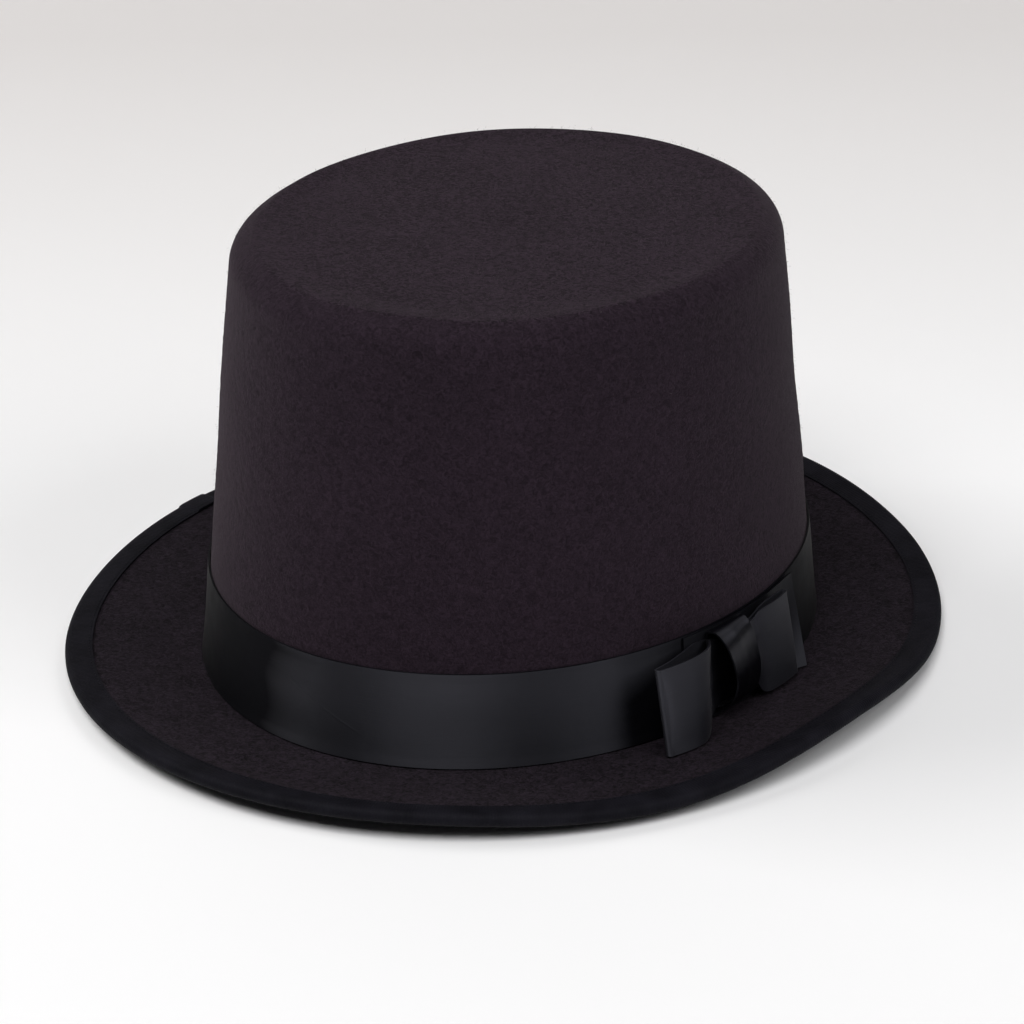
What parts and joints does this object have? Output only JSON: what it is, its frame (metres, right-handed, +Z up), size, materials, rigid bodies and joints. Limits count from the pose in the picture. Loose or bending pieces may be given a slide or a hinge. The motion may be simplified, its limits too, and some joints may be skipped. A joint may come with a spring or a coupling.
{
  "type": "top hat",
  "caption": "Black wool-felt top hat with a tapered oval crown, softly curled bound brim, satin band and looped side bow, fully lined inside.",
  "frame": {"origin": "centre of the hat's outline at floor level, on the brim's underside plane", "axes": "+Z up through the crown, -Y the wearer's front, +X the wearer's left, where the bow is"},
  "size_m": [0.2622, 0.2846, 0.1348],
  "materials": {
    "crown_felt": "wool felt, brushed nap",
    "brim_felt": "wool felt, brushed nap",
    "buckram": "stiffened open-weave cloth, matte",
    "band_satin": "black satin ribbon, soft sheen",
    "binding_grosgrain": "black ribbed ribbon, low sheen",
    "lining_satin": "dark satin lining, soft sheen",
    "sweatband_leather": "dark smooth leather, satin",
    "reed_cover": "dark covered cord, matte",
    "wire_steel": "drawn steel wire"
  },
  "bodies": {
    "root": {"crown_felt": "crown_felt", "crown_side_stiffener": "buckram", "crown_tip_stiffener": "buckram", "lining_tip": "lining_satin", "lining_side": "lining_satin", "sweatband": "sweatband_leather", "sweatband_reed": "reed_cover", "brim_top_felt": "brim_felt", "brim_stiffener": "buckram", "brim_under_felt": "brim_felt", "brim_wire": "wire_steel", "brim_binding": "binding_grosgrain", "hatband": "band_satin", "bow_under_ribbon": "band_satin", "bow_loop_front": "band_satin", "bow_loop_back": "band_satin", "bow_knot": "band_satin"}
  },
  "joints": []
}
